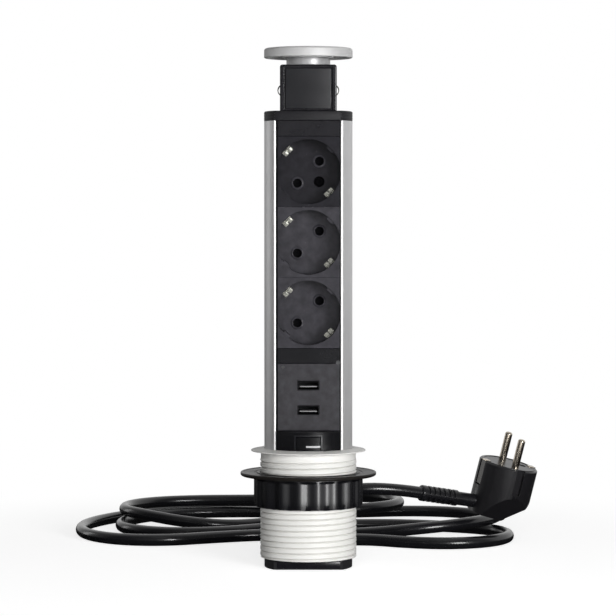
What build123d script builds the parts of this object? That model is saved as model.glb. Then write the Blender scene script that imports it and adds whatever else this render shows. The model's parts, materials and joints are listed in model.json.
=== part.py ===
# Pull-up desk socket tower with three earthed sockets, two USB ports, a threaded desk sleeve and a coiled flex.
# Millimetres, +Z up, front towards -Y. The origin is the middle of the tower's foot on the standing plane.
from build123d import *
import math
import os

os.makedirs("parts", exist_ok=True)

# Clearances
gap = 0.1             # between fixed pieces that seat on one another
fine_gap = 0.05       # half of a gap that two pieces share
slide_gap = 0.25      # round the sliding tower
turn_gap = 0.2        # between the sleeve's thread crest and the rings on it
stop_gap = 0.3        # between faces that stop each other
past = 1.0            # how far a cutting solid runs past the face that it cuts

# Tower profile
tower_r = 26.9
profile_wall = 1.3
flat_y = -16.9        # front face of the inserts
insert_half = 19.45   # half width of the front inserts
plate_t = 2.5         # thickness of an insert's front plate
foot_h = 8.6          # bottom cap's visible height

# Heights of the front inserts, from the foot up
latch_bottom = 66.6
latch_h = 17.9
usb_h = 40.8
spacer_h = 9.3
socket_pitch = 42.6
blank_h = 9.6
socket_names = ["lower", "middle", "upper"]
blank_back = -6.0
spacer_back = -4.0
lower_panel_back = -13.0

# Socket recess
recess_r = 19.55
recess_depth = 17.5
floor_t = 2.4
pin_spacing = 19.0
pin_hole_r = 2.7
pin_line_angle = 45.0
guide_rib_w = 4.6
guide_rib_h = 1.8
guide_pad_w = 9.6     # low pad round each rib
guide_pad_h = 0.7
guide_rib_step = 1.2  # how far the ribs start behind the front face
screw_r = 3.3
screw_at = (6.6, -5.8)  # the upper socket's screw hole, right of and below the middle
screw_depth = 1.6

# Earth bracket
clip_w = 6.0
clip_t = 0.8
clip_in = 1.3         # prong's middle inside the recess wall
clip_front = 3.0      # prong's end behind the front face
crown_r = 1.3
crown_at = 3.2        # crown's middle behind the prong's end
clip_slot_gap = 0.3
rivet_r = 1.6

# Live, neutral and earth bars
tube_wall = 1.0
tube_gap = 0.05       # between a plug pin and its contact
tube_len = 12.0
bar_t = 1.0
bar_half = 3.0
bar_end = 6.0
earth_bar_half = 2.0
earth_bar_end = 4.0
carrier_t = 2.0

# USB module
usb_port_w = 13.1
usb_port_h = 5.6
usb_port_up = (27.5, 12.5)  # ports' middles above the panel's lower edge
usb_shell_t = 0.4
usb_shell_depth = 14.0
usb_shell_in = 0.2
usb_room_half = 15.5
usb_room_edge = 3.0
tongue_in = 1.6
tongue_side = 1.1
tongue_t = 1.8
tongue_foot = 0.6
board_half = 17.0
board_edge = 1.2
board_t = 1.6
coil_former = (16.0, 3.0, 18.0)
coil_core = (12.0, 13.0, 21.0)
coil_up = 22.5
capacitor_r = 3.2
capacitor_len = 12.0
capacitor_x = 9.0
capacitor_up = 6.0

# Head: end cap, block, neck and round cap
end_cap_h = 5.9
end_cap_out = 0.4     # end cap's front edge ahead of the inserts
end_cap_round = 0.8
spigot_depth = 5.0
spigot_front = -5.8
spigot_back = 22.0
head_w = 34.3
head_depth = 31.0
head_h = 27.8
head_round = 1.6
head_side_round = 1.0
panel_w = 27.4
panel_edge = 2.5      # head panel's edge inside the block's top and foot
panel_groove = 0.9
panel_recess = 1.2
panel_out = 0.3
neck_r = 13.35
neck_h = 4.6
cap_r = 26.9
cap_h = 5.9
cap_round = 1.6
cap_under_round = 0.6
cap_rim = 2.2
cap_hollow = 1.2

# Side catches in the head block
catch_h = 6.0
catch_depth = 8.0
catch_out = 1.6
catch_z = 12.8        # middle of the catches above the block's foot
catch_in = 2.0
catch_gap = 0.2
catch_pocket = 4.2
catch_lip = 1.0       # block's wall that keeps the catch's foot in
catch_leaf_t = 0.5
catch_foot_t = 0.85
catch_foot_over = 0.9

# Latch
latch_back = -8.0
latch_wall = 2.0
button_w = 15.0
button_h = 8.7
button_up = 6.2       # button's lower edge above the latch's
button_round = 0.8
button_gap = 0.15
button_travel = 3.0
button_foot_over = 1.5
button_foot_t = 1.5
spring_len = 8.8
spring_r = 2.2
spring_wall = 0.9

# Sleeve in the desk
flange_r = 35.2
flange_t = 1.8
flange_round = 0.8
flange_top = 71.9
crest_r = 29.4
sleeve_bottom = 6.3
flex_notch_gap = 0.6  # notch in the sleeve's lower edge, round the flex boot
bore_r = 27.8
stop_ring_h = 5.7
collar_r = 27.6
collar_h = 12.0

# Clamp washer and nut
washer_r = 41.5
washer_t = 2.3
washer_bottom = 56.0
washer_collar = 2.2   # plain ring inside the washer's groove
groove_w = 1.2
groove_depth = 0.5
nut_r = 33.2
nut_bottom = 37.3
nut_edge = 0.5
nut_lobes = 18
lobe_depth = 1.0
lobe_cut_r = 6.0
nut_band = 5.2        # from the nut's top to the middle of each flute's round end

# Foot, terminal block and conductors
foot_round = 0.6
foot_spigot = (-10.0, 26.0)
foot_spigot_h = 8.0
foot_wall = 2.0
cable_room_edge = 4.0
cable_room = (-10.0, 14.0)
boot_slot_front = 8.0
terminal_half = 12.0
terminal_y = (4.0, 14.0)
terminal_z = (40.0, 56.0)
terminal_screw_r = 1.8
terminal_screw_z = 51.0
wire_pitch = 8.0
wire_y = 9.0
wire_hole_r = 1.9
wire_r = 1.4
wire_z = (12.0, 47.0)
wire_hole_top = 48.0
lower_carrier_z = (17.0, 62.0)

# Flex and its boot
cord_r = 3.9
cord_z = 4.0          # middle of the flex where it lies on the standing plane
boot_x = -16.0
boot_end = 42.0
boot_len = 22.0
boot_w = 15.0
boot_tip_w = 9.0
boot_rib_count = 4
boot_rib_start = 9.0
boot_rib_pitch = 3.2
boot_rib_w = 1.4
boot_core_half = 3.4
boot_root = 6.0
boot_root_edge = 1.0

# Angled plug: its face's middle, the way the pins point and the way the flex leaves
plug_face = (130.9, 108.0, 52.6)
plug_up = (0.23, -0.10, 0.97)
plug_out = (-0.901, -0.400, 0.172)
plug_r = 19.3
plug_drum = 19.0
plug_depth = 36.0
plug_entry = 27.8
plug_heel = 6.5
plug_toe = 6.0
plug_foot_half = 9.0
plug_edge = 0.7
pin_r = 2.4
pin_len = 19.0
pin_root = 12.0
pin_root_r = 2.0
pin_tip_round = 1.6
earth_hole_r = 2.5
earth_hole_at = -10.0
earth_hole_depth = 15.0
guide_groove_w = 5.4
guide_groove_t = 2.4
guide_groove_in = 1.0
groove_len = 17.0
groove_mid = -8.0
contact_w = 6.2
contact_t = 0.9
contact_len = 15.8
contact_in = 1.35
contact_pocket_w = 7.0
contact_pocket_t = 2.0
contact_pocket_in = 0.9
relief_len = 39.0
relief_r = 5.2
relief_core_r = 4.2
relief_neck_r = 4.4   # smooth neck next to the plug
relief_neck = 12.5
relief_root = 2.0
relief_rib_count = 6
relief_rib_start = 17.5
relief_rib_pitch = 3.6
relief_slot = 1.7
relief_bridge = 2.4

# Values that follow from the sizes above
inner_r = tower_r - profile_wall
drum_r = inner_r - gap
plate_back = flat_y + plate_t
ring_r = tower_r + slide_gap
thread_bore = crest_r + turn_gap
usb_bottom = latch_bottom + latch_h
usb_top = usb_bottom + usb_h
socket_bottom = usb_top + spacer_h
socket_top = socket_bottom + len(socket_names) * socket_pitch
tower_top = socket_top + blank_h
socket_centres = [socket_bottom + socket_pitch * (i + 0.5) for i in range(len(socket_names))]
recess_floor = flat_y + recess_depth
housing_back = recess_floor + floor_t
pin_off = pin_spacing / 2 * math.cos(math.radians(pin_line_angle))
prong_r = recess_r - clip_in
head_bottom = tower_top + end_cap_h
neck_bottom = head_bottom + head_h
cap_bottom = neck_bottom + neck_h
nut_top = washer_bottom - stop_gap


def bar(x0, x1, y0, y1, z0, z1):
    """A box between two corners."""
    return Pos((x0 + x1) / 2, (y0 + y1) / 2, (z0 + z1) / 2) * Box(x1 - x0, y1 - y0, z1 - z0)


def rod(radius, z0, z1, x=0.0, y=0.0):
    """An upright cylinder."""
    return Pos(x, y, (z0 + z1) / 2) * Cylinder(radius, z1 - z0)


def rod_y(radius, x, z, y0, y1):
    """A cylinder along Y."""
    return Pos(x, (y0 + y1) / 2, z) * Rot(90, 0, 0) * Cylinder(radius, y1 - y0)


def drum_slice(radius, y0, y1, z0, z1):
    """The part of an upright cylinder between two planes across Y."""
    return rod(radius, z0, z1) & bar(-radius, radius, y0, y1, z0, z1)


def insert_body(z0, z1, back):
    """A front insert: its plate between the profile's lips and the body behind them."""
    plate = bar(-insert_half, insert_half, flat_y, plate_back, z0, z1)
    return plate + drum_slice(drum_r, plate_back - gap, back, z0, z1)


def rings(shape, end):
    """The round edges at a solid's lowest (0) or highest (-1) height."""
    return shape.edges().filter_by(GeomType.CIRCLE).group_by(Axis.Z)[end]


def save(shape, name):
    """Writes one node, of one or several solids."""
    solids = shape.solids()
    out = solids[0] if len(solids) == 1 else Compound(children=list(solids))
    export_step(out, "parts/" + name + ".step")


# Sleeve: threaded tube with its flange and the inner ring that stops the tower
sleeve = rod(crest_r, sleeve_bottom, flange_top - flange_t) + rod(flange_r, flange_top - flange_t, flange_top)
sleeve = fillet(rings(sleeve, -1), flange_round)
sleeve -= rod(bore_r, sleeve_bottom - past, flange_top - stop_ring_h)
sleeve -= rod(ring_r, sleeve_bottom, flange_top + past)
notch_half = boot_w / 2 + flex_notch_gap
sleeve -= bar(boot_x - notch_half, boot_x + notch_half, 0, flange_r, sleeve_bottom - past, cord_z + cord_r + flex_notch_gap)
save(sleeve, "sleeve")

# Clamp washer: thin ring with a rolled edge and a groove round its collar
washer_top = washer_bottom + washer_t
washer = rod(washer_r, washer_bottom, washer_top)
washer = fillet(washer.edges().filter_by(GeomType.CIRCLE), washer_t * 0.42)
washer -= rod(thread_bore, washer_bottom - past, washer_top + past)
groove_in = thread_bore + washer_collar
groove = rod(groove_in + groove_w, washer_top - groove_depth, washer_top + past)
groove -= rod(groove_in, washer_bottom, washer_top + past)
washer -= groove
save(washer, "clamp_washer")

# Clamp nut: fluted ring, each flute closed by a round end under the smooth band
nut = rod(nut_r, nut_bottom, nut_top)
nut = chamfer(rings(nut, -1), nut_edge)
nut -= rod(thread_bore, nut_bottom - past, nut_top + past)
flute_at = nut_r - lobe_depth + lobe_cut_r
flute_top = nut_top - nut_band
for i in range(nut_lobes):
    flute = rod(lobe_cut_r, nut_bottom - past, flute_top, flute_at) + Pos(flute_at, 0, flute_top) * Sphere(lobe_cut_r)
    nut -= Rot(0, 0, 360 / nut_lobes * i) * flute
save(nut, "clamp_nut")

# Aluminium profile: open drum whose front edges hold the inserts
profile = rod(tower_r, foot_h, tower_top) - rod(inner_r, foot_h - past, tower_top + past)
profile -= bar(-tower_r, tower_r, -tower_r, flat_y, foot_h - past, tower_top + past)
profile -= bar(-insert_half - gap, insert_half + gap, -tower_r, 0, foot_h - past, tower_top + past)
save(profile, "tower_profile")

# Blank panel under the end cap
save(insert_body(socket_top + gap, tower_top - gap, blank_back), "blank_panel")


def socket_housing(centre, with_screw):
    """A socket's moulding: recess, floor with the pin holes, guide ribs and slots for the earth prongs."""
    low = centre - socket_pitch / 2 + fine_gap
    high = centre + socket_pitch / 2 - fine_gap
    body = insert_body(low, high, housing_back)
    body -= rod_y(recess_r, 0, centre, flat_y - past, recess_floor)
    rib_front = flat_y + guide_rib_step
    rib_len = recess_floor - rib_front
    rib = Box(guide_rib_h * 2, rib_len, guide_rib_w) + Box(guide_pad_h * 2, rib_len, guide_pad_w)
    rib_turn = Pos(0, (rib_front + recess_floor) / 2, centre) * Rot(0, -pin_line_angle, 0)
    slot = Box(clip_t + clip_slot_gap * 2, floor_t + past * 2, clip_w + clip_slot_gap * 2)
    slot_turn = Pos(0, recess_floor + floor_t / 2, centre) * Rot(0, pin_line_angle, 0)
    for side in (1, -1):
        shaped_rib = rib_turn * Pos(side * recess_r, 0, 0) * rib
        body += shaped_rib & rod_y(recess_r + guide_rib_h / 3, 0, centre, rib_front, recess_floor)
        body -= rod_y(pin_hole_r, side * pin_off, centre + side * pin_off, recess_floor - past, housing_back + past)
        body -= slot_turn * Pos(side * prong_r, 0, 0) * slot
    if with_screw:
        body -= rod_y(screw_r, screw_at[0], centre + screw_at[1], recess_floor - past, recess_floor + screw_depth)
    return body


def earth_clip(centre):
    """One socket's earth bracket: a strap behind the floor and two sprung prongs with crowned contacts."""
    strap_y = housing_back + gap
    strap_back = strap_y + clip_t
    prong_front = flat_y + clip_front
    part = bar(-prong_r - clip_t / 2, prong_r + clip_t / 2, strap_y, strap_back, -clip_w / 2, clip_w / 2)
    for side in (1, -1):
        prong = Pos(side * prong_r, (prong_front + strap_back) / 2, 0) * Box(clip_t, strap_back - prong_front, clip_w)
        crown = Pos(side * (prong_r - clip_t / 2), prong_front + crown_at, 0) * Cylinder(crown_r, clip_w)
        part = part + prong + crown
    part -= rod_y(rivet_r, 0, 0, strap_y - past, strap_back + past)
    return Pos(0, 0, centre) * Rot(0, pin_line_angle, 0) * part


for name, centre in zip(socket_names, socket_centres):
    save(socket_housing(centre, name == "upper"), "socket_" + name)
    save(earth_clip(centre), "earth_clip_" + name)

# Live and neutral bars: a strip with a tubular contact behind every pin hole
contact_front = housing_back + gap
contact_back = contact_front + tube_len
for name, side in (("line_busbar", 1), ("neutral_busbar", -1)):
    x = side * pin_off
    strip = bar(x - bar_half, x + bar_half, contact_back, contact_back + bar_t,
                socket_centres[0] + x - bar_end, socket_centres[-1] + x + bar_end)
    for centre in socket_centres:
        strip += rod_y(pin_r + tube_wall, x, centre + x, contact_front, contact_back)
        strip -= rod_y(pin_r + tube_gap, x, centre + x, contact_front - past, contact_back + bar_t + past)
    save(strip, name)

# Earth bar joins the three earth brackets
earth_y = housing_back + gap + clip_t + fine_gap
earth_bar = bar(-earth_bar_half, earth_bar_half, earth_y, earth_y + bar_t,
                socket_centres[0] - earth_bar_end, socket_centres[-1] + earth_bar_end)
save(earth_bar, "earth_busbar")

# Carrier plate behind the bars
carrier_y = contact_back + bar_t + gap
save(drum_slice(drum_r, carrier_y, carrier_y + carrier_t, socket_bottom, socket_top), "contact_carrier")

# Spacer between the sockets and the USB module
save(insert_body(usb_top + fine_gap, socket_bottom - fine_gap, spacer_back), "spacer_strip")

# USB module: panel with two ports, shells, tongues, board and its supply parts
usb_back = flat_y + usb_shell_depth + usb_shell_t
usb_panel = insert_body(usb_bottom + gap, usb_top - fine_gap, usb_back)
usb_panel -= bar(-usb_room_half, usb_room_half, plate_back, usb_back + past,
                 usb_bottom + usb_room_edge, usb_top - usb_room_edge)
shells = []
tongues = []
half_w = usb_port_w / 2 - gap
half_h = usb_port_h / 2 - gap
for z in (usb_bottom + up for up in usb_port_up):
    usb_panel -= Pos(0, plate_back, z) * Box(usb_port_w, plate_t * 4, usb_port_h)
    shell = bar(-half_w, half_w, flat_y + usb_shell_in, flat_y + usb_shell_depth, z - half_h, z + half_h)
    shell -= bar(-half_w + usb_shell_t, half_w - usb_shell_t, flat_y - past, flat_y + usb_shell_depth - usb_shell_t,
                 z - half_h + usb_shell_t, z + half_h - usb_shell_t)
    shells.append(shell)
    tongue_low = z - half_h + usb_shell_t + tongue_foot
    tongues.append(bar(-half_w + tongue_side, half_w - tongue_side, flat_y + tongue_in,
                       flat_y + usb_shell_depth - usb_shell_t, tongue_low, tongue_low + tongue_t))
save(usb_panel, "usb_panel")
save(Compound(children=shells), "usb_shells")
save(Compound(children=tongues), "usb_tongues")

board_y = usb_back + gap
supply_y = board_y + board_t + fine_gap
save(bar(-board_half, board_half, board_y, board_y + board_t, usb_bottom + board_edge, usb_top - board_edge), "usb_board")
coil_z = usb_bottom + coil_up
capacitor_z = usb_bottom + capacitor_up
former = Pos(0, supply_y + coil_former[1] / 2, coil_z) * Box(*coil_former)
save(former + Pos(0, supply_y + coil_core[1] / 2, coil_z) * Box(*coil_core), "usb_transformer")
capacitors = [rod_y(capacitor_r, x, capacitor_z, supply_y, supply_y + capacitor_len) for x in (-capacitor_x, capacitor_x)]
save(Compound(children=capacitors), "usb_capacitors")

# Latch housing: fills the drum in front, with a pocket for the release button
latch_top = usb_bottom - gap
button_bottom = latch_bottom + button_up
button_top = button_bottom + button_h
latch = drum_slice(tower_r, -tower_r, plate_back, latch_bottom, latch_top)
latch &= bar(-insert_half, insert_half, -tower_r, plate_back, latch_bottom, latch_top)
latch += drum_slice(drum_r, plate_back - gap, latch_back, latch_bottom, latch_top)
pocket_half = button_w / 2 + button_gap
pocket_back = latch_back - latch_wall
latch -= bar(-pocket_half, pocket_half, -tower_r - past, pocket_back, button_bottom - button_gap, button_top + button_gap)
button_back = pocket_back - spring_len - stop_gap
foot_front = button_back - button_foot_t
foot_half = button_w / 2 + button_foot_over
latch -= bar(-foot_half - button_gap, foot_half + button_gap, foot_front - gap, pocket_back,
             button_bottom - button_gap, button_top + button_gap)
save(latch, "latch_housing")

# Release button with its round face and the foot that keeps it in, and the spring behind it
button = drum_slice(tower_r, -tower_r, button_back, button_bottom, button_top)
button &= bar(-button_w / 2, button_w / 2, -tower_r, button_back, button_bottom, button_top)
button = fillet(button.edges().filter_by(Axis.Z).group_by(Axis.Y)[0], button_round)
button += bar(-foot_half, foot_half, foot_front, button_back, button_bottom, button_top)
save(button, "release_button")
spring_z = (button_bottom + button_top) / 2
spring_y = pocket_back - gap
spring = rod_y(spring_r, 0, spring_z, spring_y - spring_len, spring_y)
spring -= rod_y(spring_r - spring_wall, 0, spring_z, spring_y - spring_len - past, spring_y + past)
save(spring, "button_spring")

# Collar that meets the sleeve's inner ring when the tower is fully out
collar_top = flange_top - stop_ring_h - stop_gap
collar_bottom = collar_top - collar_h
collar = rod(collar_r, collar_bottom, collar_top)
collar -= rod(tower_r + gap, collar_bottom - past, collar_top + past) & bar(
    -flange_r, flange_r, flat_y - gap, flange_r, collar_bottom - past, collar_top + past)
save(collar, "stop_collar")

# Lower panel, inside the sleeve
save(insert_body(foot_h + gap, latch_bottom - gap, lower_panel_back), "lower_panel")

# Bottom cap: foot plate, spigot inside the profile and the slot for the flex's boot
plate_top = foot_h - gap
cap = rod(tower_r, 0, plate_top) & bar(-tower_r, tower_r, flat_y, tower_r, 0, plate_top)
cap = fillet(cap.edges().group_by(Axis.Z)[0], foot_round)
cap += drum_slice(drum_r, *foot_spigot, plate_top, plate_top + foot_spigot_h)
cap -= drum_slice(drum_r - foot_wall, foot_spigot[0] + foot_wall, foot_spigot[1] - foot_wall,
                  plate_top - past, plate_top + foot_spigot_h + past)
cap -= drum_slice(tower_r - cable_room_edge, *cable_room, foot_wall, plate_top + past)
slot_half = boot_w / 2 + gap
cap -= bar(boot_x - slot_half, boot_x + slot_half, boot_slot_front, tower_r + past, -past, plate_top + gap)
save(cap, "bottom_cap")

# Flex boot: low oval section with slots, tapering from the foot to the flex
def oval(width, y):
    """The boot's section, a slot shape across the flex."""
    return Plane((boot_x, y, cord_z), x_dir=(1, 0, 0), z_dir=(0, 1, 0)) * SlotOverall(width, cord_r * 2)


boot_start = boot_end - boot_len
boot = loft([oval(boot_w, boot_start), oval(boot_tip_w, boot_end)])
for i in range(boot_rib_count):
    y = boot_start + boot_rib_start + i * boot_rib_pitch
    for side in (1, -1):
        slot_x = sorted((boot_x + side * boot_core_half, boot_x + side * boot_w))
        boot -= bar(*slot_x, y, y + boot_rib_w, -past, cord_z + cord_r + past)
root_half = boot_w / 2 - boot_root_edge
boot += bar(boot_x - root_half, boot_x + root_half, boot_start - boot_root, boot_start + past,
            cord_z - cord_r + gap * 3, cord_z + cord_r - gap * 3)
save(boot, "cord_boot")

# Terminal block on its carrier, and the three conductors that run up from the foot
terminal = bar(-terminal_half, terminal_half, *terminal_y, *terminal_z)
wires = []
for x in (-wire_pitch, 0, wire_pitch):
    terminal -= rod_y(terminal_screw_r, x, terminal_screw_z, terminal_y[0] - past, wire_y)
    terminal -= rod(wire_hole_r, terminal_z[0] - past, wire_hole_top, x, wire_y)
    wires.append(rod(wire_r, *wire_z, x, wire_y))
save(terminal, "terminal_block")
save(Compound(children=wires), "inner_wires")
lower_carrier_y = terminal_y[1] + gap
save(drum_slice(drum_r, lower_carrier_y, lower_carrier_y + carrier_t, *lower_carrier_z), "lower_carrier")

# Top end cap: plate over the profile with a spigot inside it
end_cap = rod(tower_r, tower_top + fine_gap, head_bottom)
end_cap &= bar(-tower_r, tower_r, flat_y - end_cap_out, tower_r, tower_top, head_bottom)
end_cap = fillet(end_cap.edges().group_by(Axis.Z)[-1], end_cap_round)
end_cap += drum_slice(drum_r, spigot_front, spigot_back, tower_top - spigot_depth, tower_top + past)
save(end_cap, "top_end_cap")

# Head block with a framed front and pockets for the two side catches
block = bar(-head_w / 2, head_w / 2, -head_depth / 2, head_depth / 2, head_bottom + fine_gap, neck_bottom)
block = fillet(block.edges().filter_by(Axis.Y).group_by(Axis.Z)[-1], head_round)
block = fillet(block.edges().filter_by(Axis.Z), head_side_round)
panel_low = head_bottom + panel_edge
panel_high = neck_bottom - panel_edge
groove_half = panel_w / 2 + panel_groove
block -= bar(-groove_half, groove_half, -head_depth / 2 - past, -head_depth / 2 + panel_recess,
             panel_low - panel_groove, panel_high + panel_groove)
catch_mid = head_bottom + catch_z
catch_x = head_w / 2 - catch_in
lip_x = head_w / 2 - catch_lip
foot_tall = catch_h + catch_foot_over * 2
for side in (1, -1):
    opening = Box(catch_pocket * 2, catch_depth + catch_gap * 2, catch_h + catch_gap * 2)
    block -= Pos(side * head_w / 2, 0, catch_mid) * opening
    room_x = sorted((side * (head_w / 2 - catch_pocket), side * lip_x))
    block -= bar(*room_x, -catch_depth / 2 - catch_gap, catch_depth / 2 + catch_gap,
                 catch_mid - foot_tall / 2 - catch_gap, catch_mid + foot_tall / 2 + catch_gap)
save(block, "head_block")
panel = bar(-panel_w / 2, panel_w / 2, -head_depth / 2 - panel_out, -head_depth / 2 + panel_recess - fine_gap,
            panel_low, panel_high)
save(fillet(panel.edges().group_by(Axis.Y)[0], panel_out), "head_panel")

# Side catches: bowed spring leaves that press in against the block
bow_r = (catch_h ** 2 / 4 + catch_out ** 2) / (2 * catch_out)
for name, side in (("left", -1), ("right", 1)):
    bow = Pos(side * (head_w / 2 + catch_out - bow_r), 0, catch_mid) * Rot(90, 0, 0) * Cylinder(bow_r, catch_depth)
    room = Pos(side * (catch_x + head_w / 2), 0, catch_mid) * Box(head_w, catch_depth, catch_h)
    hollow = Pos(side * (head_w / 2 + catch_out - bow_r), 0, catch_mid) * Rot(90, 0, 0) * Cylinder(
        bow_r - catch_leaf_t, catch_depth + past)
    hollow &= Pos(side * (catch_x + head_w / 2), 0, catch_mid) * Box(head_w, catch_depth + past, catch_h - catch_leaf_t * 2)
    catch = (bow & room) - hollow
    foot_x = sorted((side * catch_x, side * (catch_x + catch_foot_t)))
    catch += bar(*foot_x, -catch_depth / 2, catch_depth / 2, catch_mid - foot_tall / 2, catch_mid + foot_tall / 2)
    save(catch, "head_catch_" + name)

# Neck and round cap
save(rod(neck_r, neck_bottom + fine_gap, cap_bottom - fine_gap), "cap_neck")
round_cap = rod(cap_r, cap_bottom, cap_bottom + cap_h)
round_cap = fillet(rings(round_cap, -1), cap_round)
round_cap = fillet(rings(round_cap, 0), cap_under_round)
hollow = rod(cap_r - cap_rim, cap_bottom - past, cap_bottom + cap_hollow)
hollow -= rod(neck_r + cap_rim, cap_bottom - past * 2, cap_bottom + cap_h)
round_cap -= hollow
save(round_cap, "cap_disc")

# Plug frame: Z along the pins, X the way the flex leaves
up = Vector(*plug_up).normalized()
out = (Vector(*plug_out) - up * Vector(*plug_out).dot(up)).normalized()
plug_plane = Plane(plug_face, x_dir=out, z_dir=up)
plug_here = plug_plane.location

# Plug body: a drum cut to a wedge from the side and to a taper from the front
side_view = Plane.XZ * Polyline((-plug_r, 0), (plug_r, 0), (plug_r, -plug_entry - plug_heel), (plug_toe, -plug_depth),
                                (0, -plug_depth), (-plug_r, -plug_drum), (-plug_r, 0))
front_view = Plane.YZ * Polyline((-plug_r, 0), (plug_r, 0), (plug_r, -plug_drum), (plug_foot_half, -plug_depth),
                                 (-plug_foot_half, -plug_depth), (-plug_r, -plug_drum), (-plug_r, 0))
body = rod(plug_r, -plug_depth, 0)
body &= extrude(make_face(side_view), plug_r, both=True)
body &= extrude(make_face(front_view), plug_r, both=True)
body = chamfer(body.edges().group_by(Axis.Z)[-1], plug_edge)
pins = []
contacts = []
for side in (1, -1):
    body -= Pos(0, side * (plug_r - guide_groove_in), groove_mid) * Box(guide_groove_w, guide_groove_t, groove_len)
    body -= Pos(side * (plug_r - contact_pocket_in), 0, groove_mid) * Box(contact_pocket_t, contact_pocket_w, groove_len)
    pin_y = side * pin_spacing / 2
    body -= rod(pin_root_r + tube_gap, -pin_root - tube_gap, past, 0, pin_y)
    pin = rod(pin_r, 0, pin_len, 0, pin_y)
    pin = fillet(pin.edges().group_by(Axis.Z)[-1], pin_tip_round) + rod(pin_root_r, -pin_root, fine_gap, 0, pin_y)
    pins.append(plug_here * pin)
    contacts.append(plug_here * Pos(side * (plug_r - contact_in), 0, groove_mid) * Box(contact_t, contact_w, contact_len))
body -= rod(earth_hole_r, -earth_hole_depth, past, earth_hole_at, 0)
save(plug_here * body, "plug_body")
save(Compound(children=pins), "plug_pins")
save(Compound(children=contacts), "plug_earth_contacts")

# Strain relief: smooth root at the plug, then a slotted tail
relief_at = plug_plane.from_local_coords(Vector(plug_r - relief_root, 0, -plug_entry))
neck_end = relief_root + relief_neck
relief = rod(relief_neck_r, 0, neck_end + past) + rod(relief_r, neck_end, relief_root + relief_len)
relief = fillet(rings(relief, -1), relief_r - cord_r)
for i in range(relief_rib_count):
    z = relief_rib_start + i * relief_rib_pitch
    ring = rod(relief_r + past, z, z + relief_slot) - rod(relief_core_r, z - past, z + relief_slot + past)
    relief -= ring - bar(-relief_bridge / 2, relief_bridge / 2, -relief_r * 2, relief_r * 2, z, z + relief_slot)
relief = Plane(relief_at, x_dir=up, z_dir=out).location * relief
relief -= plug_here * rod(plug_r + fine_gap, -plug_depth - past, past)
save(relief, "plug_strain_relief")

# Flex: hand-laid route from the boot through the loose coil to the strain relief's end
tail = plug_plane.from_local_coords(Vector(plug_r + relief_len, 0, -plug_entry))
tail_run = 30.0
route = [
    (-16, 42, 4), (-16, 61.5, 4), (-5.2, 84.5, 4), (16.3, 98.1, 4), (41.8, 98, 4), (63.2, 84.2, 4), (88.4, 77, 4),
    (113.3, 84.8, 4), (129.9, 105, 4), (132.7, 131.3, 4), (120.2, 155.2, 4), (92.1, 170.3, 4), (60, 180, 4),
    (24, 178, 4), (-6, 170, 4), (-33, 154, 4),
    (-58, 136, 4), (-90, 131, 4), (-117, 146, 4), (-129, 175, 4), (-125, 208, 4), (-105, 237, 4), (-75, 252, 4),
    (-38, 255, 4), (-2, 250, 4), (34, 252, 4), (70, 262, 4), (104, 255, 4), (127, 232, 4), (133, 202, 7.5),
    (130, 171, 12.4), (122, 140, 12.4), (103, 114, 12.4), (73, 104, 10.5), (42, 111, 6.5), (8, 122, 4),
    (-28, 124, 4), (-62, 110, 4), (-92, 94, 4), (-122, 98, 4), (-144, 120, 4), (-153.5, 151, 4), (-151, 186, 4),
    (-137, 218, 4), (-116, 246, 4), (-86, 266, 4), (-52, 280, 4), (-20, 288, 4), (5, 291, 6), (33, 290, 11),
    (57, 272, 12.4), (66, 244, 12.4), (57, 216, 12.4), (33, 198, 12.4), (3, 198, 8.5), (-26, 184, 4.5),
    (-54, 164, 5), (-84, 157, 8.5), (-111, 168, 12.2), (-127, 192, 12.4), (-125.8, 220.8, 12.4), (-108, 243, 12.4),
    (-80, 253, 12.4), (-50, 255, 12.4), (-22, 246, 13.5), (-3, 225, 17.5), (4, 194, 17.5), (-7, 164, 14),
    (-13, 132, 16), (-7, 102, 24.4), (13.9, 80.8, 36.4), tuple(tail + out * tail_run), tuple(tail),
]
points = [Vector(*p) for p in route]
radii = []
for a, b, c in zip(points, points[1:], points[2:]):
    turn = math.radians((b - a).get_angle(c - b))
    radii.append(0.45 * min((b - a).length, (c - b).length) / math.tan(turn / 2))
path = FilletPolyline(*points, radius=radii)
flex = sweep(Plane(points[0], z_dir=points[1] - points[0]) * Circle(cord_r), path=path)
save(flex, "cord")

# Measures of the flex: its radii, its volume against section times length, and its least gap to itself
print("flex radii, mm:", [round(r, 1) for r in radii])
length = path.length
print("flex length", round(length, 1), "volume", round(flex.volume, 1), "section times length",
      round(math.pi * cord_r ** 2 * length, 1))
sample_step = 2.0
samples = [tuple(path.position_at(i * sample_step / length)) for i in range(int(length / sample_step))]
apart = 30            # samples nearer along the flex than this aren't compared
least = min(math.dist(samples[i], samples[j]) for i in range(len(samples)) for j in range(i + apart, len(samples)))
print("flex least gap to itself", round(least - cord_r * 2, 2), "last points", route[-2:])
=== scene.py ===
import json
import math

import bmesh
import bpy
import numpy as np
from mathutils import Matrix, Vector


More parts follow.
